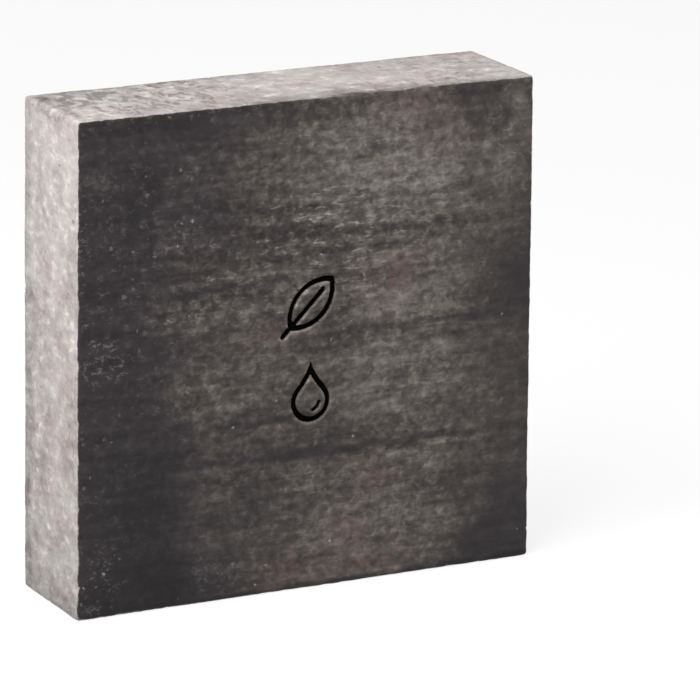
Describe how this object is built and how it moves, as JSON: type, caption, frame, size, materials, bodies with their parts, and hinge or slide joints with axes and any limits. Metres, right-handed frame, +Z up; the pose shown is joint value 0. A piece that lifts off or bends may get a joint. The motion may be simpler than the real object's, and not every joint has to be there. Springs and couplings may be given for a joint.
{
  "type": "charcoal block",
  "caption": "Square charcoal-grey block with eased edges, standing on a narrow face, with a small leaf and drop pressed into its front face and filled with black colour.",
  "frame": {"origin": "middle of the narrow face that the block stands on", "axes": "+Z up, the stamped front face towards -Y, the plain back face towards +Y, +X to the right seen from the front"},
  "size_m": [0.072, 0.0184, 0.072],
  "materials": {
    "charcoal": "matte",
    "stamp_colour": "matte"
  },
  "bodies": {
    "root": {"block": "charcoal", "upper_mark_fill": "stamp_colour", "lower_mark_fill": "stamp_colour"}
  },
  "joints": []
}
